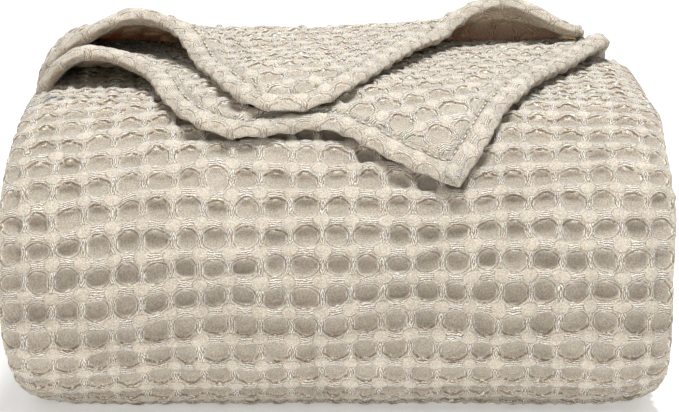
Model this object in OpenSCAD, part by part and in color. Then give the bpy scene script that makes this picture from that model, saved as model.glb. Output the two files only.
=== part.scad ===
// A waffle-weave throw blanket, folded into a thick bundle with its last end turned back over the top.
// X runs left to right, the round front fold faces -Y, +Z is up, and the bundle rests on z = 0.

/* [Bundle] */
// Width of the bundle, from its left side folds to its right side folds
bundle_w = 320; // [290:1:350]
// Depth of the bundle, from the front fold to the back turns
bundle_d = 236; // [220:1:260]
// Height of the six stacked leaves, without the loose flaps
bundle_h = 146; // [141:1:160]
// Height at which the front fold stands furthest forward
nose_z = 60; // [55:1:65]
// Thickness of one leaf, which is four layers of cloth
leaf_t = 23.5; // [22:0.1:24]

/* [Flaps] */
// Thickness of a loose layer of cloth
cloth_t = 7; // [5:0.5:8]
// Width of a sewn hem
hem_w = 14; // [10:1:18]
// Height of the hollow under the lower flap's left loop
lower_loop_gap = 13; // [8:1:16]
// Height that the upper flap's loops rise above its cloth
upper_loop_rise = 19; // [16:1:24]

/* [Hidden] */

cloth_colour = [0.80, 0.77, 0.70];
hem_colour = [0.85, 0.82, 0.76];
thread_colour = [0.90, 0.88, 0.82];

$fn = 48;
slack = 0.4;                  // clearance between bodies that move apart
quarter_steps = 12;           // straight pieces in a quarter of the front fold
nose_y = -bundle_d / 2;
back_y = bundle_d / 2;
lower_depth = 58;             // how far back the underside of the front fold becomes level
upper_depth = 100;            // how far back its upper side becomes level
leaf_end_y = back_y - leaf_t; // where the leaves stop and the back turns begin
side_round = 34;              // corner radius of the bundle seen from above
stitch_inset = 11;            // from a hem's edge to its sewn line
stitch_w = 1.2;
stitch_rise = 0.5;

lower_z = bundle_h + slack;             // underside of the lower flap on the level top
upper_z = lower_z + cloth_t + stitch_rise + slack; // underside of the upper flap
flap_back_y = 106;

// Hand-set outlines of the two flaps, seen from above
lower_front_edge = [[-94, -12], [-86, -46], [-70, -74], [-50, -80], [-10, -72], [15, -84], [60, -102]];
lower_side_edge = [[60, -102], [72, -78], [84, -46], [108, 18], [128, 64], [146, 106]];
upper_front_edge = [
    [-86, 40], [-68, -10], [-58, -58], [-34, -73], [-4, -66], [12, -40], [32, 6], [48, 58], [64, 84]
];
lower_loop_x = [-150, -94];
upper_left_loop_x = [-150, -86];
upper_right_loop_x = [64, 122];
lower_loop_y = [8, 38];
upper_left_loop_y = [40, flap_back_y];
upper_right_loop_y = [80, flap_back_y];

// A quarter of a slightly squared ellipse, from its level point to its upright one
squareness = 2.1;
function corner(a) = pow(cos(a), 2 / squareness);
function quarter(cy, cz, ry, rz, up) = [
    for (i = [0:quarter_steps])
        let (a = 90 * i / quarter_steps)
        [cy - ry * corner(90 - a), cz + up * rz * corner(a)]
];
function lower_curve(grow) =
    quarter(nose_y + lower_depth, nose_z, lower_depth + grow, nose_z + grow, -1);
function upper_curve(grow) =
    quarter(nose_y + upper_depth, nose_z, upper_depth + grow, bundle_h - nose_z + grow, 1);
function reversed(points) = [for (i = [len(points) - 1:-1:0]) points[i]];

// A smooth line through a list of points
curve_steps = 3;
function on_curve(a, b, c, d, t) =
    0.5 * (2 * b + (c - a) * t + (2 * a - 5 * b + 4 * c - d) * t * t + (3 * b - a - 3 * c + d) * t * t * t);
function curved(p) = [
    for (i = [0:len(p) - 2], k = [0:curve_steps - 1])
        on_curve(p[max(i - 1, 0)], p[i], p[i + 1], p[min(i + 2, len(p) - 1)], k / curve_steps),
    p[len(p) - 1]
];

// A line moved sideways: to its left by a positive distance
function unit(v) = v / norm(v);
function along(p, i) = unit(p[min(i + 1, len(p) - 1)] - p[max(i - 1, 0)]);
function shifted(p, by) = [for (i = [0:len(p) - 1]) let (d = along(p, i)) p[i] + by * [-d[1], d[0]]];
function band(p, from, to) = concat(shifted(p, from), reversed(shifted(p, to)));

lower_front = curved(lower_front_edge);
lower_side = curved(lower_side_edge);
upper_front = curved(upper_front_edge);

// Extrudes an outline drawn in Y and Z along the whole width
module across(points) {
    translate([-bundle_w / 2, 0, 0])
        rotate([90, 0, 90])
            linear_extrude(height = bundle_w)
                polygon(points);
}

// The pillow-like outline that rounds the left and right ends
module rounded_ends() {
    top_w = bundle_w - 22;
    foot_w = bundle_w - 16;
    intersection() {
        translate([0, 200, 0])
            rotate([90, 0, 0])
                linear_extrude(height = 400)
                    polygon([
                        [-foot_w / 2, 0], [-bundle_w / 2 + 2, 24], [-bundle_w / 2, nose_z],
                        [-bundle_w / 2 + 3, 104], [-top_w / 2, bundle_h],
                        [top_w / 2, bundle_h], [bundle_w / 2 - 3, 104],
                        [bundle_w / 2, nose_z], [bundle_w / 2 - 2, 24], [foot_w / 2, 0]
                    ]);
        union() {
            translate([-bundle_w / 2, nose_y + side_round, 0])
                cube([bundle_w, bundle_d - 2 * side_round, bundle_h]);
            translate([-bundle_w / 2 + side_round, nose_y, 0])
                cube([bundle_w - 2 * side_round, bundle_d, bundle_h]);
            for (x = [-1, 1], y = [-1, 1])
                translate([x * (bundle_w / 2 - side_round), y * (bundle_d / 2 - side_round), 0])
                    cylinder(r = side_round, h = bundle_h);
        }
    }
}

module leaf(y0, y1, z0, z1) {
    intersection() {
        translate([-bundle_w / 2, y0, z0])
            cube([bundle_w, y1 - y0, z1 - z0]);
        rounded_ends();
    }
}

// One of the front fold's nested quarters, between two depths below the outer face
module bend(outer, inner) {
    intersection() {
        across(concat(outer, reversed(inner)));
        rounded_ends();
    }
}

module outer_fold_bottom_leaf() {
    color(cloth_colour)
        leaf(nose_y + lower_depth, leaf_end_y, 0, leaf_t);
}

module outer_fold_lower_bend() {
    color(cloth_colour)
        bend(lower_curve(0), lower_curve(-leaf_t));
}

module middle_fold_bottom_leaf() {
    color(cloth_colour)
        leaf(nose_y + lower_depth, leaf_end_y, leaf_t, 2 * leaf_t);
}

module middle_fold_front_bend() {
    lower_outer = lower_curve(-leaf_t - slack);
    lower_inner = lower_curve(-2 * leaf_t);
    upper_outer = upper_curve(-leaf_t - slack);
    upper_inner = upper_curve(-2 * leaf_t);
    color(cloth_colour)
        bend(concat(lower_outer, reversed(upper_outer)), concat(lower_inner, reversed(upper_inner)));
}

module middle_fold_top_leaf() {
    color(cloth_colour)
        leaf(nose_y + upper_depth, leaf_end_y, bundle_h - 2 * leaf_t, bundle_h - leaf_t - slack);
}

// The innermost leaves fill the middle fold, and meet at half height
module inner_leaf(z0, z1, y1) {
    core = concat(
        lower_curve(-2 * leaf_t - slack), reversed(upper_curve(-2 * leaf_t - slack)),
        [[leaf_end_y, bundle_h - 2 * leaf_t - slack], [leaf_end_y, 2 * leaf_t + slack]]
    );
    intersection() {
        across(core);
        leaf(nose_y, y1, z0, z1);
    }
}

module inner_fold_lower_leaf() {
    color(cloth_colour)
        inner_leaf(0, bundle_h / 2, leaf_end_y);
}

module inner_fold_upper_leaf() {
    color(cloth_colour)
        inner_leaf(bundle_h / 2 + slack, bundle_h, leaf_end_y);
}

// A half-round turn at the back, where one leaf doubles back into the next
module back_turn(z) {
    color(cloth_colour)
        intersection() {
            translate([-bundle_w / 2, leaf_end_y, z])
                rotate([0, 90, 0])
                    cylinder(r = leaf_t, h = bundle_w);
            leaf(leaf_end_y, back_y, z - leaf_t, z + leaf_t);
        }
}

module lower_back_turn() {
    back_turn(leaf_t);
}

module upper_back_turn() {
    back_turn(bundle_h - 2 * leaf_t - slack);
}

// The four hemmed layers in which the cloth's inner end stops
module inner_end_hem() {
    layers = 4;
    room = bundle_h - 5 * leaf_t - 4 * slack;
    pitch = room / layers;
    color(hem_colour)
        for (i = [0:layers - 1])
            leaf(leaf_end_y, back_y - 6, 2 * leaf_t + slack + i * pitch, 2 * leaf_t + (i + 1) * pitch);
}

module outer_fold_upper_bend() {
    color(cloth_colour)
        intersection() {
            bend(upper_curve(0), upper_curve(-leaf_t));
            translate([-bundle_w / 2, nose_y, nose_z + slack])
                cube([bundle_w, bundle_d, bundle_h]);
        }
}

module outer_fold_top_leaf() {
    color(cloth_colour)
        union() {
            leaf(nose_y + upper_depth, back_y - leaf_t / 2, bundle_h - leaf_t, bundle_h);
            intersection() {
                translate([-bundle_w / 2, back_y - leaf_t / 2, bundle_h - leaf_t / 2])
                    rotate([0, 90, 0])
                        cylinder(r = leaf_t / 2, h = bundle_w);
                rounded_ends();
            }
        }
}

// A sheet that lies on the top and the front fold, between two heights above them, cut to an outline
module draped(outline, low, high) {
    intersection() {
        across(concat(
            reversed(upper_curve(high)),
            [[back_y, bundle_h + high], [back_y, bundle_h + low]],
            upper_curve(low)
        ));
        linear_extrude(height = 2 * bundle_h)
            polygon(outline);
    }
}

// A tunnel of cloth that rises from a level sheet and comes down to it again
module loop_tunnel(ends, reach, z, rise) {
    steps = 16;
    span = ends[1] - ends[0];
    crest = [for (i = [0:steps]) [ends[0] + span * i / steps, z + rise * pow(sin(180 * i / steps), 2)]];
    translate([0, reach[1], 0])
        rotate([90, 0, 0])
            linear_extrude(height = reach[1] - reach[0])
                polygon(concat(crest, [for (p = reversed(crest)) [p[0], p[1] + cloth_t]]));
}

module lower_flap_outline_cut() {
    for (edge = [lower_front, lower_side])
        linear_extrude(height = 2 * bundle_h)
            polygon(band(edge, 0, hem_w));
}

module lower_flap_cloth() {
    color(cloth_colour)
        difference() {
            draped(
                concat(lower_front, lower_side, [
                    [lower_loop_x[0], flap_back_y],
                    [lower_loop_x[0], lower_loop_y[1]],
                    [lower_loop_x[1], lower_loop_y[1]]
                ]),
                slack, slack + cloth_t
            );
            lower_flap_outline_cut();
        }
}

module lower_flap_left_loop() {
    color(cloth_colour)
        loop_tunnel(lower_loop_x, lower_loop_y, lower_z, lower_loop_gap);
}

module lower_flap_front_hem() {
    color(hem_colour)
        difference() {
            draped(band(lower_front, 0, hem_w), slack, slack + cloth_t);
            linear_extrude(height = 2 * bundle_h)
                polygon(band(lower_side, 0, hem_w));
        }
}

module lower_flap_side_hem() {
    color(hem_colour)
        intersection() {
            draped(band(lower_side, 0, hem_w), slack, slack + cloth_t);
            translate([-bundle_w / 2, nose_y, 0])
                cube([bundle_w, flap_back_y - nose_y, 2 * bundle_h]);
        }
}

module stitch_line(edge, low) {
    draped(band(edge, stitch_inset, stitch_inset + stitch_w), low, low + stitch_rise);
}

module lower_flap_stitching() {
    color(thread_colour)
        for (edge = [lower_front, lower_side])
            stitch_line(edge, slack + cloth_t);
}

module upper_flap_cloth() {
    color(cloth_colour)
        difference() {
            draped(
                concat(
                    upper_front,
                    [[upper_right_loop_x[0], flap_back_y], [upper_left_loop_x[1], flap_back_y]]
                ),
                upper_z - bundle_h, upper_z - bundle_h + cloth_t
            );
            linear_extrude(height = 2 * bundle_h)
                polygon(band(upper_front, 0, hem_w));
        }
}

module upper_flap_left_loop() {
    color(cloth_colour)
        loop_tunnel(upper_left_loop_x, upper_left_loop_y, upper_z, upper_loop_rise);
}

module upper_flap_right_loop() {
    color(cloth_colour)
        loop_tunnel(upper_right_loop_x, upper_right_loop_y, upper_z, upper_loop_rise);
}

module upper_flap_front_hem() {
    color(hem_colour)
        draped(band(upper_front, 0, hem_w), upper_z - bundle_h, upper_z - bundle_h + cloth_t);
}

module upper_flap_stitching() {
    color(thread_colour)
        stitch_line(upper_front, upper_z - bundle_h + cloth_t);
}

outer_fold_bottom_leaf();
outer_fold_lower_bend();
middle_fold_bottom_leaf();
middle_fold_front_bend();
middle_fold_top_leaf();
inner_fold_lower_leaf();
inner_fold_upper_leaf();
lower_back_turn();
upper_back_turn();
inner_end_hem();
outer_fold_upper_bend();
outer_fold_top_leaf();
lower_flap_cloth();
lower_flap_left_loop();
lower_flap_front_hem();
lower_flap_side_hem();
lower_flap_stitching();
upper_flap_cloth();
upper_flap_left_loop();
upper_flap_right_loop();
upper_flap_front_hem();
upper_flap_stitching();
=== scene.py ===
import math

import bpy
import numpy as np
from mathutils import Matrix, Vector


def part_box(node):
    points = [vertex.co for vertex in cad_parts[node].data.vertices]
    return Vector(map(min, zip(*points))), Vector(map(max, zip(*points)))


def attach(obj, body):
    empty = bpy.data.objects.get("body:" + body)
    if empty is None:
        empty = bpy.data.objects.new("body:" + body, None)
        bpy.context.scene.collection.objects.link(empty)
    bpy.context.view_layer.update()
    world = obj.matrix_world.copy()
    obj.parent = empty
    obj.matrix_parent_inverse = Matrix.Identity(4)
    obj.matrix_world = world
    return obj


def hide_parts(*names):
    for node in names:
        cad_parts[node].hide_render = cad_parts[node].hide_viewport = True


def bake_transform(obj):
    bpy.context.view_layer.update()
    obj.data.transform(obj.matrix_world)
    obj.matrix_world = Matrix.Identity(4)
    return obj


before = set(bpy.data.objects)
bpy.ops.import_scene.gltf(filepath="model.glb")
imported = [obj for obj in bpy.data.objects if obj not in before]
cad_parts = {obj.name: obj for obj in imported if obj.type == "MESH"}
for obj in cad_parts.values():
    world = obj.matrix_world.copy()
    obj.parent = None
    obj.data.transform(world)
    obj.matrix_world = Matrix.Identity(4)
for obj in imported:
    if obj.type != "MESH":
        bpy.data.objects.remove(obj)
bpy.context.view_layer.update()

# A folded waffle throw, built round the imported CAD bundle. Lengths are in millimetres until a mesh is made.
METRES_PER_MM = 0.001


def cad_corners(node):
    """Lowest and highest corner of a CAD node, in millimetres."""
    low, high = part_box(node)
    return np.array(low) / METRES_PER_MM, np.array(high) / METRES_PER_MM


# ---------------------------------------------------------------- sizes, from the frame and the cloth itself
LEAF_T = cad_corners("outer_fold_bottom_leaf")[1][2]
NOSE_Y = cad_corners("outer_fold_upper_bend")[0][1]
NOSE_Z = cad_corners("outer_fold_lower_bend")[1][2]
TOP_Z = cad_corners("outer_fold_top_leaf")[1][2]
TURN_Y = cad_corners("outer_fold_bottom_leaf")[1][1]
LOWER_DEPTH = cad_corners("outer_fold_bottom_leaf")[0][1] - NOSE_Y
UPPER_DEPTH = cad_corners("outer_fold_top_leaf")[0][1] - NOSE_Y
HALF_W = cad_corners("middle_fold_front_bend")[1][0]
INNER_HEM_LOW, INNER_HEM_HIGH = cad_corners("inner_end_hem")

SQUARENESS = 2.1          # of the front fold's quarter ellipses
CELL_U = 14.2             # pitch of the waffle cells across the cloth
CELL_V = 14.6             # and along it
STRIP_HALF_T = 5.4        # half the thickness of two layers lying together
STRIP_OFFSET = LEAF_T / 4  # each strip's middle lies this far from the middle of its leaf
EDGE_REACH = 15.0         # how far in from a side fold the cloth rounds over
FLAP_HALF_T = 2.7         # half the thickness of the single cloth of a flap, crests not counted
HEM_W = 14.0
HEM_HALF_T = 3.1
STITCH_INSET = 11.0       # from the hem's outer edge

FINE = 0.9                # spacing of points on cloth that shows
MEDIUM = 1.6              # on cloth that shows when the throw is opened
COARSE = 5.0              # and on cloth that lies hidden


def smooth(x, low, high):
    """0 at low, 1 at high, with a smooth step between, whichever of them is larger."""
    t = np.clip((x - low) / (high - low), 0, 1)
    return t * t * (3 - 2 * t)


def hump(x, centre, reach):
    """1 at the centre, falling smoothly to 0 at the reach on both sides."""
    return np.cos(np.clip((x - centre) / reach, -1, 1) * math.pi / 2) ** 2


def ripples(seed, wavelength, count=7):
    """A smooth random function of two lengths, between about -1 and 1."""
    r = np.random.default_rng(seed)
    angle = r.uniform(0, 2 * math.pi, count)
    turn = 2 * math.pi / (wavelength * r.uniform(0.6, 1.6, count))
    phase = r.uniform(0, 2 * math.pi, count)

    def value(a, b):
        waves = [np.sin(k * (a * math.cos(t) + b * math.sin(t)) + p) for k, t, p in zip(turn, angle, phase)]
        return sum(waves) / (0.7 * count)

    return value


# ---------------------------------------------------------------- the weave
# In fractions of a cell, with a pit at the middle of each cell, threads floating along the cloth between
# neighbouring pits of a row, threads floating across it between neighbouring pits of a column, and a patch
# of plain weave at each corner.
PIT_WIDTH, PIT_LENGTH = 0.385, 0.315
CROSS_FLOAT = (0.27, 0.20)
LONG_FLOAT = (0.15, 0.31)
PATCH = (0.27, 0.215)
PIT_SHAPE = 2.5           # power of the pits' rounded-square outline
BUMP_SHAPE = 2.4          # and of the bumps'
PIT_RIM = (1.12, 0.84)    # shares of a pit's reach at which its wall starts and ends
BOWL = 0.30               # share of a pit's depth that is bowl, below its wall
PIT_DEPTH = 3.0           # this and the heights below in mm
CROSS_HEIGHT = 1.25
LONG_HEIGHT = 1.15
PATCH_HEIGHT = 0.85
PIT_SIZE_VARIES = 0.09    # chance from cell to cell
PIT_DEPTH_VARIES = 0.25
CROSS_HEIGHT_VARIES = 0.3
CELL_TABLE = 64
cell_random = np.random.default_rng(20).uniform(-1, 1, (CELL_TABLE, CELL_TABLE, 4))
cell_warp_u = ripples(31, 1.9, 9)
cell_warp_v = ripples(32, 1.7, 9)


def chance_of(u, v):
    """Four random numbers that belong to the cell at u, v."""
    return cell_random[np.floor(u).astype(int) % CELL_TABLE, np.floor(v).astype(int) % CELL_TABLE]


def dome(a, b, reach):
    """1 at the middle of a rounded bump, 0 at its rim and beyond."""
    inside = np.clip(1 - np.abs(a / reach[0]) ** BUMP_SHAPE - np.abs(b / reach[1]) ** BUMP_SHAPE, 0, 1)
    return np.sqrt(inside)


def waffle(u, v):
    """Height of the weave in mm at cell coordinates u and v."""
    a, b = u - np.floor(u) - 0.5, v - np.floor(v) - 0.5
    chance = chance_of(u, v)
    size = 1 + PIT_SIZE_VARIES * chance[..., 0]
    from_centre = (np.abs(a / PIT_WIDTH / size) ** PIT_SHAPE + np.abs(b / PIT_LENGTH / size) ** PIT_SHAPE)
    from_centre = from_centre ** (1 / PIT_SHAPE)
    wall = smooth(from_centre, *PIT_RIM)
    bowl = BOWL * np.clip(1 - from_centre ** 2, 0, 1)
    to_side, to_end = 0.5 - np.abs(a), 0.5 - np.abs(b)
    height = -PIT_DEPTH * (1 + PIT_DEPTH_VARIES * chance[..., 1]) * wall * (1 - BOWL + bowl)
    height += (CROSS_HEIGHT + CROSS_HEIGHT_VARIES * chance[..., 2]) * dome(a, to_end, CROSS_FLOAT)
    height += LONG_HEIGHT * dome(to_side, b, LONG_FLOAT)
    height += PATCH_HEIGHT * dome(to_side, to_end, PATCH)
    return height


def weave_attribute(u, v):
    """What the cotton material reads at each point: its cell coordinates and the cell's own shade."""
    return np.stack([u, v, chance_of(u, v)[..., 3]], -1)


# ---------------------------------------------------------------- meshes
def signed_volume(points, quads):
    """A number with the sign of the volume inside a closed mesh: above 0 where its faces look outward."""
    a, b, c, d = (points[quads[:, k]] for k in range(4))
    first_triangles = np.einsum("ij,ij->i", a, np.cross(b, c))
    second_triangles = np.einsum("ij,ij->i", a, np.cross(c, d))
    return (first_triangles + second_triangles).sum()


def closed_object(name, points, quads, end_rings, cells, material):
    """Makes a closed object from points in mm, quads and flat end faces, with the weave's coordinates."""
    faces = [list(quad) for quad in quads.tolist()] + end_rings
    if signed_volume(points - points.mean(axis=0), quads) < 0:
        faces = [face[::-1] for face in faces]
    mesh = bpy.data.meshes.new(name)
    mesh.from_pydata((points * METRES_PER_MM).tolist(), [], faces)
    is_smooth = np.ones(len(mesh.polygons), bool)
    is_smooth[len(quads):] = False
    mesh.polygons.foreach_set("use_smooth", is_smooth)
    layer = mesh.attributes.new("cell", "FLOAT_VECTOR", "POINT")
    layer.data.foreach_set("vector", np.ascontiguousarray(cells, np.float32).ravel())
    mesh.materials.append(material)
    mesh.update()
    piece = bpy.data.objects.new(name, mesh)
    bpy.context.scene.collection.objects.link(piece)
    return piece


def grid_quads(rows, columns, closed, start=0):
    """Quads between the points of a grid. A closed grid's last column meets its first."""
    i, j = np.meshgrid(np.arange(rows - 1), np.arange(columns if closed else columns - 1), indexing="ij")
    following = (j + 1) % columns
    quads = [i * columns + j, i * columns + following, (i + 1) * columns + following, (i + 1) * columns + j]
    return np.stack(quads, -1).reshape(-1, 4) + start


def tube_object(name, rings, cells, material):
    """A closed mesh from rings of points, with one flat face at each end."""
    rows, columns = rings.shape[:2]
    first = list(range(columns))[::-1]
    last = [(rows - 1) * columns + j for j in range(columns)]
    quads = grid_quads(rows, columns, True)
    return closed_object(name, rings.reshape(-1, 3), quads, [first, last], cells.reshape(-1, 3), material)


def closed_sheet(name, upper, lower, upper_cells, lower_cells, material):
    """A closed object between two grids of points, one over the other, walled round their rim."""
    rows, columns = upper.shape[:2]
    count = rows * columns
    grid = np.arange(count).reshape(rows, columns)
    rim = np.concatenate([grid[0, :-1], grid[:-1, -1], grid[-1, :0:-1], grid[:0:-1, 0]])
    following = np.roll(rim, -1)
    walls = np.stack([following, rim, rim + count, following + count], 1)
    top_quads = grid_quads(rows, columns, False)
    quads = np.concatenate([top_quads, top_quads[:, ::-1] + count, walls])
    points = np.concatenate([upper.reshape(-1, 3), lower.reshape(-1, 3)])
    cells = np.concatenate([upper_cells.reshape(-1, 3), lower_cells.reshape(-1, 3)])
    return closed_object(name, points, quads, [], cells, material)


def grid_area(points):
    """Area of a grid of points given in mm, in square metres."""
    along, across = np.diff(points, axis=0)[:, 1:], np.diff(points, axis=1)[1:]
    return np.linalg.norm(np.cross(along, across), axis=-1).sum() * METRES_PER_MM ** 2


def lengths_along(line):
    """Length from a line's start to each of its points."""
    return np.concatenate([[0], np.cumsum(np.linalg.norm(np.diff(line, axis=0), axis=1))])


def resampled(line, count):
    """The same line with evenly spaced points."""
    lengths = lengths_along(line)
    even = np.linspace(0, lengths[-1], count)
    return np.stack([np.interp(even, lengths, line[:, k]) for k in range(line.shape[1])], 1)


def softened(values, spread):
    """A running average along the first axis that leaves both ends where they are."""
    kernel = np.ones(2 * spread + 1) / (2 * spread + 1)
    columns = []
    for column in values.T:
        before, after = 2 * column[0] - column[spread:0:-1], 2 * column[-1] - column[-2:-spread - 2:-1]
        columns.append(np.convolve(np.concatenate([before, column, after]), kernel, mode="valid"))
    return np.stack(columns, 1)


# ---------------------------------------------------------------- the folded strip's path, seen from the side
def quarter(inset, depth, height, up):
    """A quarter of the front fold, from its level end to the nose, inset from the outer face."""
    angle = np.linspace(0, math.pi / 2, 60)
    reach, rise = np.sin(angle) ** (2 / SQUARENESS), np.cos(angle) ** (2 / SQUARENESS)
    centre_y = NOSE_Y + depth
    return np.stack([centre_y - (depth - inset) * reach, NOSE_Z + up * (height - inset) * rise], 1)


def half_turn(y, z, radius, side, downward):
    """A half circle that bulges to the front or the back."""
    angle = np.linspace(-math.pi / 2, math.pi / 2, 40)
    order = -1 if downward else 1
    return np.stack([y + side * radius * np.cos(angle), z + order * radius * np.sin(angle)], 1)


def level(y0, y1, z):
    """A level line from y0 to y1."""
    return np.array([[y0, z], [y1, z]])


OUTER, MIDDLE = 0.5 * LEAF_T, 1.5 * LEAF_T
TOP_LEAF_END_Y = 109.0
SECOND_LAYERS_SHORT = 8.0   # the lower of the top leaf's strips stops this far before the upper one
inner_low_z = (INNER_HEM_LOW[2] + INNER_HEM_HIGH[2]) / 2
inner_high_z = TOP_Z - inner_low_z
inner_radius = (inner_high_z - inner_low_z) / 2
inner_bend_y = NOSE_Y + 2.5 * LEAF_T + inner_radius
upper_turn_radius = (TOP_Z - MIDDLE - inner_high_z) / 2

SECTIONS = [
    ("inner_fold_lower_leaf", level(TURN_Y + 2, inner_bend_y, inner_low_z)),
    ("inner_bend", half_turn(inner_bend_y, TOP_Z / 2, inner_radius, -1, False)),
    ("inner_fold_upper_leaf", level(inner_bend_y, TURN_Y, inner_high_z)),
    ("upper_back_turn", half_turn(TURN_Y, inner_high_z + upper_turn_radius, upper_turn_radius, 1, False)),
    ("middle_fold_top_leaf", level(TURN_Y, NOSE_Y + UPPER_DEPTH, TOP_Z - MIDDLE)),
    ("middle_upper_bend", quarter(MIDDLE, UPPER_DEPTH, TOP_Z - NOSE_Z, 1)),
    ("middle_lower_bend", quarter(MIDDLE, LOWER_DEPTH, NOSE_Z, -1)[::-1]),
    ("middle_fold_bottom_leaf", level(NOSE_Y + LOWER_DEPTH, TURN_Y, MIDDLE)),
    ("lower_back_turn", half_turn(TURN_Y, LEAF_T, OUTER, 1, True)),
    ("outer_fold_bottom_leaf", level(TURN_Y, NOSE_Y + LOWER_DEPTH, OUTER)),
    ("outer_fold_lower_bend", quarter(OUTER, LOWER_DEPTH, NOSE_Z, -1)),
    ("outer_fold_upper_bend", quarter(OUTER, UPPER_DEPTH, TOP_Z - NOSE_Z, 1)[::-1]),
    ("outer_fold_top_leaf", level(NOSE_Y + UPPER_DEPTH, TOP_LEAF_END_Y, TOP_Z - OUTER)),
]


def trace(sections):
    """Joins the sections into one evenly spaced line, and says at which length each starts and ends."""
    line, marks = [], {}
    reached = 0.0
    for name, part in sections:
        length = lengths_along(part)[-1]
        marks[name] = (reached, reached + length)
        reached += length
        line.append(part if not line else part[1:])
    points = resampled(np.concatenate(line), int(reached / 0.5))
    return np.linspace(0, reached, len(points)), points, marks


path_s, path_points, path_marks = trace(SECTIONS)
path_tangent = softened(np.gradient(path_points, axis=0), 5)
path_tangent /= np.linalg.norm(path_tangent, axis=1)[:, None]
path_left = np.stack([-path_tangent[:, 1], path_tangent[:, 0]], 1)
face_lengths = {
    side: lengths_along(path_points + side * (STRIP_OFFSET + STRIP_HALF_T) * path_left) for side in (1, -1)
}


def at_length(s, values):
    """Values given along the path, at lengths s along it."""
    return np.stack([np.interp(s, path_s, values[:, k]) for k in range(2)], 1)


OUTLINE_Z = [0, 24, 60, 104, 146]
OUTLINE_IN = [7, 2, 0, -0.3, 4]   # how far the bundle's side lies in at those heights
SIDE_OVERHANG = 1.5       # of the outer fold's crests past the CAD's side
U_SHIFT = 100.58          # puts a column of pits where it belongs, and keeps u positive
V_SHIFT = 0.45            # and a row
LEFT_TILT = 0.9           # cells by which the rows rise at the left side
LEFT_TILT_X, LEFT_TILT_REACH = -175, 75
DROOP_REACH = 2.2 * EDGE_REACH
EDGE_POINTS = {FINE: 30, MEDIUM: 16, COARSE: 16}   # round a side fold
FREE_END_REACH = 6.0      # over which the strip's free end thins
STRIP_SWELL = 0.7         # height of the broad swells of the cloth
CREST_ALLOWANCE = 0.6     # by which the cloth lies lower, so that its crests stay in the fold's room
FLOOR_GAP = 0.3
row_tilt = ripples(5, 210)
row_wander = ripples(6, 95)
column_wander = ripples(7, 120)
surface_swell = ripples(8, 80)


def weave_coordinates(x, along, side_tilt):
    """Cell coordinates of places on the cloth, with rows and cells as uneven as in washed cotton."""
    u = x / CELL_U + U_SHIFT + 0.12 * column_wander(x, along)
    v = along / CELL_V + V_SHIFT + side_tilt + 0.20 * row_tilt(x, along) + 0.11 * row_wander(x, along)
    return u + 0.11 * cell_warp_u(u, v), v + 0.11 * cell_warp_v(u, v)


def half_width(z, narrower, s, side):
    """How far a strip reaches to one side. Each fold of the cloth wanders a little."""
    wander = 1.0 * np.sin(s / 37 + 2.1 * side + narrower) + 0.6 * np.sin(s / 13 + side) - 0.3 * side
    return HALF_W + SIDE_OVERHANG - np.interp(z, OUTLINE_Z, OUTLINE_IN) - narrower + wander


def ring_shape(spacing, back_spacing, edge_count):
    """One turn round a strip from the middle of its hidden face: x's flat and round parts, and the normal."""
    face = np.linspace(-1, 1, int(2 * (HALF_W - EDGE_REACH) / spacing))
    back = np.linspace(0, 1, int((HALF_W - EDGE_REACH) / back_spacing))
    curve = np.linspace(math.pi / 2, -math.pi / 2, edge_count + 2)[1:-1]
    flat_x = np.concatenate([-back, -np.ones(edge_count), face, np.ones(edge_count), back[:0:-1]])
    edge_x = np.concatenate([0 * back, -np.cos(curve), 0 * face, np.cos(curve), 0 * back[1:]])
    normal = np.concatenate([0 * back - 1, -np.sin(curve), 0 * face + 1, np.sin(curve), 0 * back[1:] - 1])
    return flat_x, edge_x, normal


def rounded(from_rim, reach, least=0.0):
    """Share of a cloth's thickness near its rim: 1 from the reach inward, falling in a quarter circle."""
    return np.sqrt(np.clip(1 - (1 - np.clip(from_rim / reach, 0, 1)) ** 2, least, 1))


def strip_rings(s, half_t, spacing, narrower, droop, side):
    """The strip's plain rings round its middle line: x, height over the middle, and the ring's own shape."""
    height = at_length(s, path_points)[:, 1]
    flat_x, edge_x, normal = ring_shape(spacing, COARSE, EDGE_POINTS[spacing])
    reach_right, reach_left = (half_width(height, narrower, s, hand) for hand in (1, -1))
    width = np.where(flat_x[None, :] > 0, reach_right[:, None], reach_left[:, None])
    x = flat_x[None, :] * (width - EDGE_REACH) + edge_x[None, :] * EDGE_REACH
    over_edge = np.clip((np.abs(x) - (width - DROOP_REACH)) / DROOP_REACH, 0, 1)
    out = normal[None, :] * half_t[:, None] - droop * over_edge ** 2
    return x, out, edge_x, normal


def strip_weave(s, x, out, side):
    """Cell coordinates and length along the cloth at each point of a strip's rings."""
    steps = np.hypot(np.diff(x, axis=1, prepend=x[:, :1]), np.diff(out, axis=1, prepend=out[:, :1]))
    around = np.cumsum(steps, axis=1)
    face_middle = x.shape[1] // 2
    around = around - around[:, face_middle:face_middle + 1]
    along = np.repeat(np.interp(s, path_s, face_lengths[side])[:, None], x.shape[1], 1)
    side_tilt = LEFT_TILT * np.exp(-(((x - LEFT_TILT_X) / LEFT_TILT_REACH) ** 2))
    u, v = weave_coordinates(around, along, side_tilt)
    return u, v, along


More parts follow.
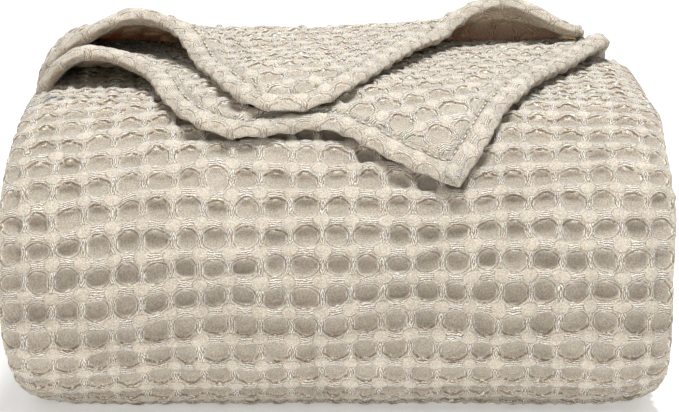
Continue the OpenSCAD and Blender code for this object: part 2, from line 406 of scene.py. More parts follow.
def strip(name, side, span, spacing, narrower, droop, free_end):
    """Two layers of the folded strip between two lengths of the path, left of it (side 1) or right (-1)."""
    s = np.linspace(span[0], span[1], max(4, int((span[1] - span[0]) / (1.15 * spacing)) + 1))
    left = at_length(s, path_left)
    left /= np.linalg.norm(left, axis=1)[:, None]
    half_t = np.full(len(s), STRIP_HALF_T)
    if free_end:
        half_t = STRIP_HALF_T * rounded(span[1] - s, FREE_END_REACH, 0.02)
    middle = at_length(s, path_points) + side * STRIP_OFFSET * left

    x, out, edge_x, normal = strip_rings(s, half_t, spacing, narrower, droop, side)
    u, v, along = strip_weave(s, x, out, side)
    flattened = 1 - 0.5 * smooth(np.abs(edge_x), 0.2, 0.9)[None, :]
    relief = waffle(u, v) * flattened * (half_t / STRIP_HALF_T)[:, None]
    relief = relief + STRIP_SWELL * surface_swell(x, along) - CREST_ALLOWANCE

    facing = np.hypot(edge_x, normal)
    x = x + relief * edge_x / facing
    out = out + relief * normal / facing
    yz = middle[:, None, :] + (side * out)[..., None] * left[:, None, :]
    rings = np.concatenate([x[..., None], yz], axis=2)
    rings[..., 2] = np.maximum(rings[..., 2], FLOOR_GAP)
    piece = tube_object(name, rings, weave_attribute(u, v), waffle_cotton)
    own_length = lengths_along(middle)[-1]
    return piece, (2 * HALF_W * METRES_PER_MM, own_length * METRES_PER_MM)


# ---------------------------------------------------------------- materials
class Wiring:
    """Short calls for building a material's nodes."""

    def __init__(self, name):
        self.material = bpy.data.materials.new(name)
        self.material.use_nodes = True
        self.tree = self.material.node_tree
        self.shader = self.tree.nodes["Principled BSDF"]

    def node(self, kind, **settings):
        """Adds a node with the given settings."""
        made = self.tree.nodes.new(kind)
        for key, value in settings.items():
            setattr(made, key, value)
        return made

    def feed(self, socket, value):
        """Links a socket to another one, or sets it to a plain value."""
        if isinstance(value, bpy.types.NodeSocket):
            self.tree.links.new(value, socket)
        else:
            socket.default_value = value

    def math(self, operation, *values):
        made = self.node("ShaderNodeMath", operation=operation)
        for socket, value in zip(made.inputs, values):
            self.feed(socket, value)
        return made.outputs[0]

    def product(self, first, *others):
        for other in others:
            first = self.math("MULTIPLY", first, other)
        return first

    def total(self, first, *others):
        for other in others:
            first = self.math("ADD", first, other)
        return first

    def ramp(self, value, low, high, to_low=0.0, to_high=1.0):
        """A smooth step from to_low, where the value is low, to to_high, where it is high."""
        made = self.node("ShaderNodeMapRange", interpolation_type="SMOOTHSTEP")
        for socket, given in zip(made.inputs, (value, low, high, to_low, to_high)):
            self.feed(socket, given)
        return made.outputs[0]

    def mixed(self, factor, first, second, blend="MIX"):
        made = self.node("ShaderNodeMix", data_type="RGBA", blend_type=blend)
        for index, value in ((0, factor), (6, first), (7, second)):
            self.feed(made.inputs[index], value)
        return made.outputs[2]

    def noise(self, scale, detail=2.0):
        made = self.node("ShaderNodeTexNoise")
        coordinate = self.node("ShaderNodeTexCoord")
        self.tree.links.new(coordinate.outputs["Object"], made.inputs["Vector"])
        made.inputs["Scale"].default_value = scale
        made.inputs["Detail"].default_value = detail
        return made.outputs[0]

    def attribute(self, name):
        """The three numbers of a mesh attribute."""
        source = self.node("ShaderNodeAttribute", attribute_name=name)
        split = self.node("ShaderNodeSeparateXYZ")
        self.tree.links.new(source.outputs["Vector"], split.inputs[0])
        return split.outputs

    def bump(self, height, distance):
        made = self.node("ShaderNodeBump")
        made.inputs["Strength"].default_value = 1.0
        made.inputs["Distance"].default_value = distance
        self.tree.links.new(height, made.inputs["Height"])
        self.tree.links.new(made.outputs[0], self.shader.inputs["Normal"])


COTTON = (0.64, 0.583, 0.493, 1)
COTTON_WORN = (0.70, 0.65, 0.565, 1)
# Dark brown, used as painted shade in the pits, creases, gaps between threads and the stitched groove, and for
# the cells' random darker tone
COTTON_DARK_AND_PAINTED_SHADE = (0.215, 0.155, 0.095, 1)
# Light cream, painted onto the raised floating threads as a highlight
COTTON_FLOAT_PAINTED_HIGHLIGHT = (0.95, 0.91, 0.83, 1)
# Warm tone, painted onto the underside of a single cloth as a glow of light coming through it
COTTON_PAINTED_GLOW_THROUGH = (0.80, 0.66, 0.44, 1)
FLOAT_THREADS = 15        # threads to a cell, where they float
PLAIN_THREADS = 16        # threads to a cell, where they are woven plain
STRAY_THREADS = 11.0      # how far the floating threads stray from their stripes, in radians
BOWING = 0.9              # how much the lengthwise threads bow round a pit
FLOAT_RIM = (1.15, 0.80)  # squared distances from a float's middle at which it ends and is whole
PIT_SPREAD = (1.04, 1.06)  # of the pit's painted shade past its relief
GROOVE_PAINTED_SHADE = 3.0        # painted shade of the stitched groove, where a cell's own shade runs from -1 to 1
UNDERSIDE_PAINTED_GLOW_MARK = -6.0      # marks the underside of a single cloth, where a warm glow of light coming through it is painted
COTTON_SHADER = {
    "Sheen Weight": 0.15, "Sheen Roughness": 0.6, "Specular IOR Level": 0.15,
    "Subsurface Weight": 0.35, "Subsurface Radius": (1.0, 0.6, 0.3), "Subsurface Scale": 0.010,
}
COTTON_BUMP = 0.0007      # metres
THREAD_BUMP = 0.0002
TURN = 2 * math.pi


def oval(w, a, b, reach):
    """Squared distance from the middle of an oval, 1 at its rim."""
    across, along = (w.math("POWER", w.math("DIVIDE", c, r), 2.0) for c, r in zip((a, b), reach))
    return w.total(across, along)


def rim(w, from_middle, at, half_width):
    """1 on the rim of an oval, falling to 0 on both sides of it."""
    return w.ramp(w.math("ABSOLUTE", w.math("SUBTRACT", from_middle, at)), half_width, 0.0)


def woven_parts(w, u, v, middle_noise):
    """A cell's pit, floating threads and creases, from 0 to 1, and the lines of its threads, from -1 to 1."""
    a, b = (w.math("ABSOLUTE", w.math("SUBTRACT", w.math("FRACT", c), 0.5)) for c in (u, v))
    to_side, to_end = (w.math("SUBTRACT", 0.5, c) for c in (a, b))
    from_pit = oval(w, a, b, (PIT_WIDTH * PIT_SPREAD[0], PIT_LENGTH * PIT_SPREAD[1]))
    pit = w.ramp(from_pit, 1.15, 0.55)
    cross = w.ramp(oval(w, a, to_end, CROSS_FLOAT), *FLOAT_RIM)
    long = w.ramp(oval(w, to_side, b, LONG_FLOAT), *FLOAT_RIM)
    patch_rim = rim(w, oval(w, to_side, to_end, PATCH), 1.0, 0.28)
    pit_rim = rim(w, from_pit, 1.12, 0.24)
    rims = w.math("MAXIMUM", w.product(patch_rim, 0.6), pit_rim)
    # The creases round pits and patches are both painted shade in the colour and dips in the bump
    crease = w.product(rims, w.ramp(middle_noise, 0.36, 0.52))

    stray = w.product(w.math("SUBTRACT", middle_noise, 0.5), STRAY_THREADS)
    bowed = w.product(w.math("MULTIPLY", b, b), BOWING)
    long_phase = w.total(w.product(w.total(to_side, bowed), TURN * FLOAT_THREADS), stray)
    cross_phase = w.total(w.product(v, TURN * FLOAT_THREADS), stray)
    long_lines = w.product(long, w.math("COSINE", long_phase))
    cross_lines = w.product(cross, w.math("SINE", cross_phase))
    plain = w.product(*[w.math("SINE", w.product(c, TURN * PLAIN_THREADS)) for c in (u, v)])
    return pit, w.math("MAXIMUM", cross, long), crease, w.total(long_lines, cross_lines), plain


def cotton(name, pit_painted_shade, float_painted_highlight, gap_painted_shade):
    """Cotton woven in waffles: plain weave, threads floating in bundles, and gaps between them. Shade is
    painted into the pits, creases and gaps, and highlights onto the floating threads.
    """
    w = Wiring(name)
    # The cell's third number: its own random tone, raised in the stitched groove where shade is painted, and
    # lowered far on a flap's underside where a glow is painted
    u, v, shade = w.attribute("cell")
    fine_noise, middle_noise, broad_noise = w.noise(1500.0), w.noise(420.0), w.noise(14.0, 3.0)
    pit, floats, crease, stripes, plain = woven_parts(w, u, v, middle_noise)

    gap = w.math("MAXIMUM", w.product(floats, w.ramp(stripes, -0.2, -0.9)), crease)
    tones = [
        (w.ramp(broad_noise, 0.3, 0.7, 0.0, 0.18), COTTON_WORN),
        # Painted shade: the pits are darkened in the colour
        (w.product(pit, pit_painted_shade), COTTON_DARK_AND_PAINTED_SHADE),
        # Painted highlight: the floating threads are lightened in the colour
        (w.product(floats, float_painted_highlight, w.ramp(stripes, -0.6, 0.6)), COTTON_FLOAT_PAINTED_HIGHLIGHT),
        # Painted shade: the gaps between floating threads and the creases are darkened in the colour
        (w.product(gap, gap_painted_shade), COTTON_DARK_AND_PAINTED_SHADE),
        (w.ramp(shade, -1.0, 1.0, 0.0, 0.10), COTTON_DARK_AND_PAINTED_SHADE),
        # Painted shade along the stitched groove of a hem
        (w.ramp(shade, 1.5, 2 * GROOVE_PAINTED_SHADE, 0.0, 0.6), COTTON_DARK_AND_PAINTED_SHADE),
        # Painted glow of warm light coming through the underside of a single cloth
        (w.ramp(shade, UNDERSIDE_PAINTED_GLOW_MARK / 2, UNDERSIDE_PAINTED_GLOW_MARK / 3, 0.35, 0.0), COTTON_PAINTED_GLOW_THROUGH),
    ]
    body = COTTON
    for amount, tone in tones:
        body = w.mixed(amount, body, tone)
    speckle = w.total(w.ramp(fine_noise, 0.30, 0.70, 0.70, 1.18), w.product(plain, 0.12))
    grey = w.node("ShaderNodeCombineXYZ")
    for socket in grey.inputs:
        w.feed(socket, speckle)
    w.feed(w.shader.inputs["Base Color"], w.mixed(1.0, body, grey.outputs[0], "MULTIPLY"))
    w.feed(w.shader.inputs["Roughness"], w.ramp(floats, 0.0, 1.0, 0.95, 0.80))
    threads = w.total(w.product(stripes, 0.7), w.product(plain, 0.35))
    w.bump(w.total(threads, fine_noise, w.product(crease, -1.1)), COTTON_BUMP)
    for setting, value in COTTON_SHADER.items():
        w.feed(w.shader.inputs[setting], value)
    return w.material


def spun_thread():
    """Pale, matt sewing thread."""
    w = Wiring("spun_thread")
    fibres = w.noise(2600.0)
    shade = w.mixed(w.ramp(fibres, 0.3, 0.7), (0.55, 0.49, 0.40, 1), (0.74, 0.69, 0.60, 1))
    w.feed(w.shader.inputs["Base Color"], shade)
    w.feed(w.shader.inputs["Roughness"], 0.75)
    w.bump(fibres, THREAD_BUMP)
    return w.material


waffle_cotton = cotton("waffle_cotton", pit_painted_shade=0.30, float_painted_highlight=1.0, gap_painted_shade=0.85)
hem_cotton = cotton("hem_cotton", pit_painted_shade=0.22, float_painted_highlight=0.55, gap_painted_shade=0.60)
thread = spun_thread()


# ---------------------------------------------------------------- the bundle
HIDDEN_NARROWER = 1.5     # the layers that don't show lie this much further in

# Piece, the path's sections that it runs along, its body (none where it bends between two), how much narrower
# it is than the outer fold, how far its side folds droop, and the side of the path that shows (1 is left)
BUNDLE_PARTS = [
    ("inner_fold_lower", ["inner_fold_lower_leaf"], "bundle", 6, 0, 0),
    ("inner_fold_upper", ["inner_bend", "inner_fold_upper_leaf"], "bundle", 7, 0, 0),
    ("upper_turn", ["upper_back_turn"], "bundle", 5, 0, -1),
    ("middle_fold_top", ["middle_fold_top_leaf"], "bundle", 4, 0, -1),
    ("middle_fold_front", ["middle_upper_bend", "middle_lower_bend"], "bundle", 4, 0, 0),
    ("middle_fold_bottom", ["middle_fold_bottom_leaf"], "bundle", 4, 0, 0),
    ("lower_turn", ["lower_back_turn"], "bundle", 2, 0, 1),
    ("outer_fold_bottom", ["outer_fold_bottom_leaf"], "bundle", 0, 2, 1),
    ("outer_fold_front", ["outer_fold_lower_bend", "outer_fold_upper_bend"], None, 0, 4, 1),
    ("outer_fold_top", ["outer_fold_top_leaf"], "top_leaf", 0, 4, 1),
]
SPACING = {
    "outer_fold_front": FINE, "outer_fold_top": FINE, "upper_turn": FINE, "lower_turn": FINE,
    "middle_fold_top": MEDIUM, "middle_fold_front": MEDIUM, "outer_fold_bottom": MEDIUM,
}
PATH_NODES = {
    "inner_bend": "inner_fold_upper_leaf", "middle_upper_bend": "middle_fold_front_bend",
    "middle_lower_bend": "middle_fold_front_bend",
}
LAYER_NAMES = {1: "first_layers", -1: "second_layers"}


def make_bundle():
    """The strips of two layers each, along the whole path, with the body that each one moves with."""
    for part, sections, body, narrower, droop, shown_side in BUNDLE_PARTS:
        nodes = {PATH_NODES.get(section, section) for section in sections}
        start, end = path_marks[sections[0]][0], path_marks[sections[-1]][1]
        free_end = part == "outer_fold_top"
        for side, layers in LAYER_NAMES.items():
            shown = side == shown_side
            spacing = SPACING.get(part, COARSE) if shown else COARSE
            short = SECOND_LAYERS_SHORT if free_end and side == -1 else 0
            under = 0 if shown else HIDDEN_NARROWER
            piece, flat = strip(
                f"{part}_{layers}", side, (start, end - short), spacing, narrower + under,
                droop * (1 - under / 4), free_end,
            )
            if body:
                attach(piece, body)
            else:
                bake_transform(piece)
            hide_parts(*sorted(nodes))


# ---------------------------------------------------------------- the flaps
BACK_CURL_Y, BACK_CURL_R = 100.0, 12.0     # where the flaps turn down behind the top leaf, and how tightly
SIDE_CURL_X, SIDE_CURL_R = -136.0, 11.0    # the same at their left side
LOWER_MID, UPPER_MID = 4.9, 12.8           # heights of the flaps' middles over the top leaf

# Where the flaps stand up off what they lie on: the middle of the rise across, its reach, and its height
LOWER_LEFT_LOOP = (-125, 42, 11.5)
UPPER_LEFT_LOOP = (-104, 53, 17.0)
UPPER_RIGHT_LOOP = (85, 50, 17.0)
UPPER_FRONT_RISE = (45, 40, 4.0)
LOWER_TIP_RISE = 4.0
LOWER_SWELL, UPPER_SWELL = 0.8, 0.9        # heights of the flaps' broad swells

front_quarter = quarter(0, UPPER_DEPTH, TOP_Z - NOSE_Z, 1)[::-1]
back_angle = np.linspace(0, math.pi / 2, 20)[1:]
back_quarter = np.stack([
    BACK_CURL_Y + BACK_CURL_R * np.sin(back_angle), TOP_Z - BACK_CURL_R * (1 - np.cos(back_angle))
], 1)
top_line = np.concatenate([front_quarter, level(-1, BACK_CURL_Y, TOP_Z), back_quarter])
top_line = resampled(top_line, 800)
top_arc = lengths_along(top_line)
top_arc -= np.interp(0, top_line[:, 0], top_arc)
top_tangent = np.gradient(top_line, axis=0)
top_tangent /= np.linalg.norm(top_tangent, axis=1)[:, None]
ARC_END = top_arc[-1]


def arc_of(y):
    """Length along the top leaf's profile, from its middle, to depth y."""
    return np.interp(y, top_line[:, 0], top_arc)


def over_top(x, arc, height):
    """Points at a height over the top leaf. Past the left curl, x runs on down the side of the bundle."""
    y, z = (np.interp(arc, top_arc, top_line[:, k]) for k in range(2))
    along_y, along_z = (np.interp(arc, top_arc, top_tangent[:, k]) for k in range(2))
    radius = SIDE_CURL_R + height
    curl_x = SIDE_CURL_X + 0.6 * np.maximum(height - LOWER_MID, 0)
    beyond = np.clip(curl_x - x, 0, None)
    curl = np.minimum(beyond / radius, math.pi / 2)
    x = np.where(beyond > 0, curl_x - radius * np.sin(curl), x)
    height = height - radius * (1 - np.cos(curl)) - (beyond - radius * curl)
    return np.stack([x, y - along_z * height, z + along_y * height], -1)


def rise(x, place):
    """A flap's height over where it would lie, across its width."""
    middle, reach, height = place
    return height * hump(x, middle, reach)


def lower_height(x, arc):
    """The lower flap's middle over the top leaf: up in a loop at the left, and at its back right tip."""
    loop = rise(x, LOWER_LEFT_LOOP) * smooth(arc, 62, 4)
    tip = LOWER_TIP_RISE * smooth(x, 105, 146) * smooth(arc, 40, 100)
    flat = smooth(arc, ARC_END, ARC_END - 25)
    return LOWER_MID + (loop + tip) * flat + LOWER_SWELL * surface_swell(x * 1.7, arc)


def upper_height(x, arc):
    """The upper flap's middle over the top leaf, with a loop at the left and a narrower one at the right."""
    left = rise(x, UPPER_LEFT_LOOP) * smooth(arc, -10, 32) * smooth(arc, 108, 38)
    right = rise(x, UPPER_RIGHT_LOOP) * smooth(arc, 30, 84)
    front = rise(x, UPPER_FRONT_RISE) * smooth(arc, -60, 0)
    flat = smooth(arc, ARC_END - 4, ARC_END - 32)
    lift = np.maximum(np.maximum(left, right), front) * flat
    return UPPER_MID + lift + UPPER_SWELL * surface_swell(x * 1.5, arc + 300)


# Outlines of the flaps as seen from above, x and y, set after the real one's shape
LOWER_FRONT = [
    (-176, 22), (-160, 14), (-146, 8), (-136, 5), (-122, 4), (-107, 6), (-98, 2), (-93, -14), (-88, -40),
    (-78, -60), (-64, -72), (-49, -76), (-30, -72), (-10, -69), (4, -72), (14, -80), (28, -89), (42, -94),
    (56, -98),
]
LOWER_SIDE = [
    (56, -98), (66, -86), (74, -71), (81, -52), (89, -38), (108, 19), (126, 60), (144, 99), (141, 112),
]
UPPER_FRONT = [
    (-178, 66), (-160, 56), (-148, 48), (-135, 41), (-115, 37), (-97, 40), (-87, 42), (-79, 20), (-70, -10),
    (-60, -40), (-49, -60), (-33, -68), (-18, -66), (-5, -60), (12, -38), (32, 6), (48, 50), (64, 80),
    (80, 88), (100, 86), (118, 84), (130, 92),
]
UPPER_SIDE = [(130, 92), (133, 112)]
LATTICE_TURN = {"lower_flap": math.radians(-23.0), "upper_flap": math.radians(-14.0)}
FLAP_SPACING = 1.05       # between points of the flaps' grids
FLAP_LEAST_DEPTH = 110    # of a flap's grid, so that its folds stay smooth
FLAP_RIM_REACH = 3        # over which a flap's cloth rounds to its rim
FLAP_RELIEF = 0.85        # share of the waffle's relief that the single cloth keeps
FLAP_RELIEF_SHIFT = 0.6   # by which that relief stands further up on both faces
REVERSE_RELIEF = 0.5      # share of the face's relief on the underside
UNDER_HEM_THINNING = 0.8  # share by which the cloth is thinner where a hem stands for it


def outline(corners):
    """A rounded line through the corners of an outline, as x and length along the top leaf's profile."""
    line = np.array([(x, arc_of(y)) for x, y in corners])
    line = resampled(line, 600)
    return softened(softened(line, 14), 14)


def coons(front, back, left, right):
    """A grid of places filling the space between four lines."""
    s = np.linspace(0, 1, len(front))[None, :, None]
    t = np.linspace(0, 1, len(left))[:, None, None]
    across = (1 - t) * front[None] + t * back[None]
    along = (1 - s) * left[:, None] + s * right[:, None]
    front_corners = (1 - s) * (1 - t) * front[0] + s * (1 - t) * front[-1]
    back_corners = (1 - s) * t * back[0] + s * t * back[-1]
    return across + along - front_corners - back_corners


def distance_to(lines, places):
    """Distance from each place to the nearest of some lines."""
    near = np.full(places.shape[:-1], np.inf)
    for line in lines:
        for x, arc in resampled(line, 220):
            near = np.minimum(near, np.hypot(places[..., 0] - x, places[..., 1] - arc))
    return near


def lattice(flap, x, arc):
    """Cell coordinates on a flap, whose rows run askew."""
    cosine, sine = math.cos(LATTICE_TURN[flap]), math.sin(LATTICE_TURN[flap])
    turned_x, turned_y = cosine * x - sine * arc, sine * x + cosine * arc
    return weave_coordinates(turned_x, turned_y + 500, 0)


def surface_normals(points):
    """Upward normals of a grid of points."""
    normal = np.cross(np.gradient(points, axis=1), np.gradient(points, axis=0))
    normal /= np.linalg.norm(normal, axis=-1)[..., None]
    return np.where((normal[..., 1:2] * 0 + normal[..., 2:].mean()) < 0, -normal, normal)


def flap_grid(front, side):
    """Places all over a flap, and how far each of them lies from the hems and from the whole rim."""
    back = np.stack([np.linspace(front[0, 0], side[-1, 0], 400), np.full(400, ARC_END)], 1)
    left = np.stack([np.full(50, front[0, 0]), np.linspace(front[0, 1], ARC_END, 50)], 1)
    width = (lengths_along(front)[-1] + lengths_along(back)[-1]) / 2
    depth = lengths_along(left)[-1] * 0.35 + lengths_along(side)[-1] * 0.65
    columns = int(width / FLAP_SPACING)
    rows = int(max(depth, FLAP_LEAST_DEPTH) / FLAP_SPACING)
    front_and_back = [resampled(line, columns) for line in (front, back)]
    left_and_right = [resampled(line, rows) for line in (left, side)]
    places = coons(*front_and_back, *left_and_right)
    to_hem = distance_to([front, side], places)
    to_rim = np.minimum(to_hem, distance_to([back, left], places))
    return places, to_hem, to_rim


def flap_cloth(name, flap, height, front, side):
    """The single waffle cloth of a flap, laid over the top leaf."""
    places, to_hem, to_rim = flap_grid(front, side)
    x, arc = places[..., 0], places[..., 1]
    middle = over_top(x, arc, height(x, arc))
    normal = surface_normals(middle)
    half_t = FLAP_HALF_T * rounded(to_rim, FLAP_RIM_REACH)
    half_t = half_t * (1 - UNDER_HEM_THINNING * smooth(to_hem, HEM_W - 0.5, HEM_W - 3.5))
    u, v = lattice(flap, x, arc)
    relief = FLAP_RELIEF * smooth(to_hem, HEM_W - 4, HEM_W + 5) * np.clip(to_rim / 4, 0, 1)
    upper = middle + normal * (half_t + relief * (waffle(u, v) + FLAP_RELIEF_SHIFT))[..., None]
    lower = middle - normal * (half_t - relief * (REVERSE_RELIEF * waffle(u, v) + FLAP_RELIEF_SHIFT))[..., None]
    cells = weave_attribute(u, v)
    # The underside's cells carry a mark that paints a warm glow of light coming through the cloth
    piece = closed_sheet(name, upper, lower, cells, cells + [0, 0, UNDERSIDE_PAINTED_GLOW_MARK], waffle_cotton)
    return piece, grid_area(middle)


def inward(line):
    """Unit directions from a flap's outline toward its cloth, which lies to the left of the line."""
    along = np.gradient(line, axis=0)
    along /= np.linalg.norm(along, axis=1)[:, None]
    return softened(np.stack([-along[:, 1], along[:, 0]], 1), 6)


def hem_frame(line, height, overhang):
    """Middle line of a hem, the vectors to its outer edge, and its upward normals."""
    count = int(lengths_along(line)[-1] / FLAP_SPACING)
    line = resampled(line, count)
    toward = inward(line)
    outer, inner = line - overhang * toward, line + (HEM_W - overhang) * toward
    lift = height(line[:, 0], line[:, 1])
    edge_a, edge_b = over_top(outer[:, 0], outer[:, 1], lift), over_top(inner[:, 0], inner[:, 1], lift)
    centre = softened((edge_a + edge_b) / 2, 5)
    outward_vector = softened((edge_a - edge_b) / 2, 5)
    outward_vector *= (HEM_W / 2 / np.linalg.norm(outward_vector, axis=1))[:, None]
    tangent = np.gradient(centre, axis=0)
    normal = np.cross(tangent, outward_vector)
    normal /= np.linalg.norm(normal, axis=1)[:, None]
    return centre, outward_vector, np.where(normal[:, 2:].mean() < 0, -normal, normal)


HEM_RING = 44             # points round a hem
HEM_SHAPE = 0.8           # power of its section: 1 is an ellipse, 0 a box
HEM_RELIEF = 0.50         # share of the waffle's relief that shows through a hem
HEM_SWELL = 0.8
HEM_LEAST_HALF_T = 1.2
HEM_CLOTH = 1.25          # widths of cloth that a hem takes
PINCH_DEPTH, PINCH_WIDTH = 1.5, 0.12       # of the outer edge, once a cell, and wide in cells
GROOVE_DEPTH, GROOVE_WIDTH = 2.3, 0.13     # along the stitches, and wide in half hems
STITCH_ACROSS = 1 - 2 * STITCH_INSET / HEM_W


def hem_weave(along, across, up, half_t, seed):
    """Cell coordinates round a hem, whose first half turn is its upper face."""
    u = (along + seed * 37.0) / CELL_U + 20.3 + 0 * across[None, :]
    around = lengths_along(np.stack([across * HEM_W / 2, up * half_t], 1))
    around = np.where(np.arange(HEM_RING) > HEM_RING // 2, around - around[-1], around)
    v = around[None, :] / CELL_V + 30.5 + 0 * along
    return u + 0.07 * cell_warp_u(u, v), v + 0.07 * cell_warp_v(u, v)


def hem(name, frame_of_hem, half_t, seed):
    """A turned hem: a flat rounded band with a faint waffle showing through and a groove for its stitches."""
    centre, outward_vector, normal = frame_of_hem
    angle = np.linspace(0, TURN, HEM_RING, endpoint=False)
    across, up = (np.sign(c) * np.abs(c) ** HEM_SHAPE for c in (np.cos(angle), np.sin(angle)))
    along = lengths_along(centre)[:, None]
    u, v = hem_weave(along, across, up, half_t, seed)
    bulge = HEM_SWELL * surface_swell(along * 2.2 + seed * 90, 60 * across[None, :])
    pinch = PINCH_DEPTH * np.exp(-(((u - np.floor(u) - 0.5) / PINCH_WIDTH) ** 2))
    pinch = pinch * smooth(across, 0.5, 0.95)[None, :]
    groove = GROOVE_DEPTH * np.exp(-(((across - STITCH_ACROSS) / GROOVE_WIDTH) ** 2)) * (up > 0)
    relief = HEM_RELIEF * (waffle(u, v) + 0.4) + bulge - groove[None, :]
    lift = up[None, :] * np.maximum(half_t + relief - pinch, HEM_LEAST_HALF_T)
    spread = 1 + 0.08 * surface_swell(along * 1.3 + 40 * seed, 0 * along) - 0.9 * pinch / HEM_W
    outward = outward_vector[:, None] * (across[None, :] * spread)[..., None]
    rings = centre[:, None] + outward + normal[:, None] * lift[..., None]
    cells = weave_attribute(u, v)
    # Marks the groove for painted shade in the hem's colour
    cells[..., 2] += GROOVE_PAINTED_SHADE * groove[None, :]
    piece = tube_object(name, rings, cells, hem_cotton)
    return piece, (lengths_along(centre)[-1] * METRES_PER_MM, HEM_CLOTH * HEM_W * METRES_PER_MM)


STITCH_LENGTH, STITCH_GAP, STITCH_HALF_W = 2.6, 1.3, 0.42
STITCH_DEPTH = 1.6        # below the hem's surface
HEM_HEAD, HEM_TAIL = 6, 8  # lengths at the hem's ends without stitches
STITCH_SIDES = 6


def stitches(name, frames, half_t):
    """Running stitches along hems: short raised threads, all in one piece."""
    points, quads = [], []
    angle = np.linspace(0, TURN, STITCH_SIDES, endpoint=False)
    profile = np.array([0.15, 0.8, 1.0, 0.8, 0.15])
    stitch_points = STITCH_SIDES * len(profile)
    for centre, outward_vector, normal in frames:
        line = centre + outward_vector * STITCH_ACROSS + normal * (half_t - STITCH_DEPTH)
        lengths = lengths_along(line)
        for start in np.arange(HEM_HEAD, lengths[-1] - HEM_TAIL, STITCH_LENGTH + STITCH_GAP):
            at = start + STITCH_LENGTH * np.linspace(0, 1, len(profile))
            place, across, up = (
                np.stack([np.interp(at, lengths, values[:, k]) for k in range(3)], 1)
                for values in (line, outward_vector / HEM_W * 2, normal)
            )
            size = (profile * STITCH_HALF_W)[:, None, None]
            ring = across[:, None] * np.cos(angle)[None, :, None] + up[:, None] * np.sin(angle)[None, :, None]
            quads.append(grid_quads(len(profile), STITCH_SIDES, True, start=len(points) * stitch_points))
            points.append((place[:, None] + ring * size).reshape(-1, 3))
    ends = []
    for number in range(len(points)):
        first = number * stitch_points
        last = first + stitch_points - STITCH_SIDES
        ends += [list(range(first, first + STITCH_SIDES))[::-1], list(range(last, last + STITCH_SIDES))]
    points = np.concatenate(points)
    return closed_object(name, points, np.concatenate(quads), ends, np.zeros_like(points), thread)


HEM_OVERHANG = 1.5        # past the cloth that it borders


def make_flap(flap, height, front_corners, side_corners, nodes, has_side_hem):
    """A flap's cloth, hems and stitches, which bend together where the flap leaves the body under it."""
    front, side = outline(front_corners), outline(side_corners)
    cloth, area = flap_cloth(f"{flap}_sheet", flap, height, front, side)
    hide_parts(*nodes["cloth"])
    lines = {"front_border": front}
    if has_side_hem:
        lines["side_border"] = side
    frames = [hem_frame(line, height, HEM_OVERHANG) for line in lines.values()]
    pieces = [cloth]
    for seed, (label, hem_frame_here) in enumerate(zip(lines, frames)):
        border, flat = hem(f"{flap}_{label}", hem_frame_here, HEM_HALF_T + 0.4 * seed, seed + 3)
        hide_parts(nodes[label])
        pieces.append(border)
    seams = stitches(f"{flap}_stitches", frames, HEM_HALF_T + 0.2)
    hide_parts(nodes["stitches"])
    pieces.append(seams)
    for piece in pieces:
        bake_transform(piece)


def make_flaps():
    """The two flaps, and the CAD nodes that their pieces stand for."""
    lower_nodes = {
        "cloth": ["lower_flap_cloth", "lower_flap_left_loop"], "front_border": "lower_flap_front_hem",
        "side_border": "lower_flap_side_hem", "stitches": "lower_flap_stitching",
    }
    upper_nodes = {
        "cloth": ["upper_flap_cloth", "upper_flap_left_loop", "upper_flap_right_loop"],
        "front_border": "upper_flap_front_hem", "stitches": "upper_flap_stitching",
    }
    make_flap("lower_flap", lower_height, LOWER_FRONT, LOWER_SIDE, lower_nodes, True)
    make_flap("upper_flap", upper_height, UPPER_FRONT, UPPER_SIDE, upper_nodes, False)


INNER_LAYERS = 4
INNER_HEM_Y = 104.0
INNER_HEM_FILL = 0.874    # of a layer's room, before the relief
INNER_HEM_POINTS = 300


def make_inner_hems():
    """The hemmed end of the four layers in the middle of the bundle, seen from behind."""
    layer_t = (INNER_HEM_HIGH[2] - INNER_HEM_LOW[2]) / INNER_LAYERS
    for layer in range(INNER_LAYERS):
        x = np.linspace(-HALF_W + 11 + layer, HALF_W - 12 + layer, INNER_HEM_POINTS)
        y = INNER_HEM_Y + 1.2 * np.sin(x / 31 + layer) + 0.8 * (layer % 2)
        z = INNER_HEM_LOW[2] + (layer + 0.5) * layer_t + 0 * x
        centre = np.stack([x, y, z], 1)
        outward_vector = np.tile([0.0, HEM_W / 2, 0.0], (INNER_HEM_POINTS, 1))
        normal = np.tile([0.0, 0.0, 1.0], (INNER_HEM_POINTS, 1))
        frame_of_hem = (centre, outward_vector, normal)
        border, flat = hem(f"inner_end_border_{layer + 1}", frame_of_hem, INNER_HEM_FILL * layer_t / 2, layer)
        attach(border, "bundle")
        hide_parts("inner_end_hem")


# ---------------------------------------------------------------- camera, light and floor
LENS = 168.2
CAMERA_ELEVATION = 12.0
CAMERA_DISTANCE = 1500.0      # in front of the nose of the front fold
LOOK_HEIGHT = 78.0
RAISE = 31.6                  # along the picture, so that the throw stands low in it


def aim(obj, direction):
    """Turns a camera or light, which looks down its own -Z, to look along a direction."""
    flat = math.hypot(direction[0], direction[1])
    obj.rotation_euler = (math.atan2(flat, -direction[2]), 0, math.atan2(-direction[0], direction[1]))


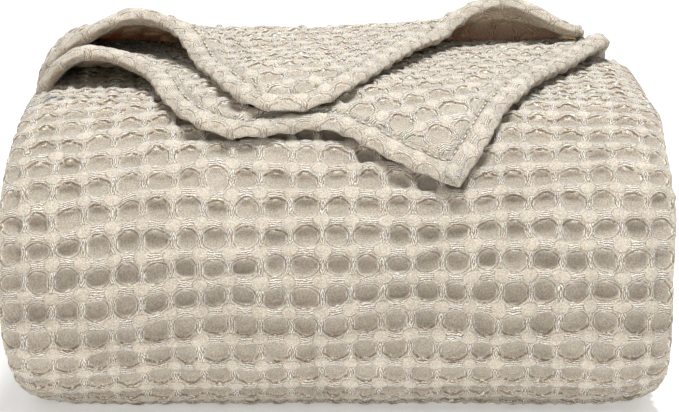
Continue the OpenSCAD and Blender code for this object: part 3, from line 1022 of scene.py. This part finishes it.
def make_camera():
    """A long lens in front of the throw, looking a little down on it."""
    data = bpy.data.cameras.new("camera")
    data.sensor_width = 36.0
    data.lens = LENS
    camera = bpy.data.objects.new("camera", data)
    bpy.context.scene.collection.objects.link(camera)
    tilt = math.radians(CAMERA_ELEVATION)
    ahead = np.array([0, math.cos(tilt), -math.sin(tilt)])
    upward = np.array([0, math.sin(tilt), math.cos(tilt)])
    target = np.array([0, NOSE_Y, LOOK_HEIGHT]) + RAISE * upward
    camera.location = ((target - CAMERA_DISTANCE * ahead) * METRES_PER_MM).tolist()
    aim(camera, ahead)
    bpy.context.scene.camera = camera


LIGHT_TARGET = (0, 0, 0.08)   # metres, the middle of the bundle
LOOP_TARGET = (-0.10, 0.04, 0.16)
LOOP_WARMTH = (1.0, 0.84, 0.64)
FLOOR_REACH = 4.0             # metres
FLOOR_GLOW = 0.32
WORLD_LIGHT = 0.45


def area_light(name, place, size, power, colour=(1, 1, 1), target=LIGHT_TARGET):
    """A round soft light. The place and size are in metres, the power in watts."""
    data = bpy.data.lights.new(name, "AREA")
    data.shape = "DISK"
    data.size = size
    data.energy = power
    data.color = colour
    light = bpy.data.objects.new(name, data)
    bpy.context.scene.collection.objects.link(light)
    light.location = place
    aim(light, np.array(target) - np.array(place))


def make_stage():
    """A white floor and an even white surrounding."""
    floor = bpy.data.meshes.new("floor")
    corners = [(x * FLOOR_REACH, y * FLOOR_REACH, 0) for x, y in ((-1, -1), (1, -1), (1, 1), (-1, 1))]
    floor.from_pydata(corners, [], [(0, 1, 2, 3)])
    w = Wiring("floor_white")
    w.feed(w.shader.inputs["Base Color"], (0.95, 0.95, 0.95, 1))
    w.feed(w.shader.inputs["Roughness"], 0.9)
    w.feed(w.shader.inputs["Emission Color"], (1, 1, 1, 1))
    w.feed(w.shader.inputs["Emission Strength"], FLOOR_GLOW)
    floor.materials.append(w.material)
    plane = bpy.data.objects.new("floor", floor)
    bpy.context.scene.collection.objects.link(plane)
    world = bpy.data.worlds.new("studio")
    world.use_nodes = True
    background = world.node_tree.nodes["Background"]
    background.inputs["Color"].default_value = (1, 1, 1, 1)
    background.inputs["Strength"].default_value = WORLD_LIGHT
    bpy.context.scene.world = world
    bpy.context.scene.view_settings.view_transform = "Standard"


make_bundle()
make_inner_hems()
make_flaps()
make_camera()
make_stage()
area_light("overhead", (0.12, -0.25, 1.5), 0.5, 31.0)
area_light("front_fill", (0.0, -2.2, 0.40), 0.8, 0.9)
area_light("loop_fill", (-0.30, -1.3, 0.23), 0.35, 2.8, LOOP_WARMTH, LOOP_TARGET)
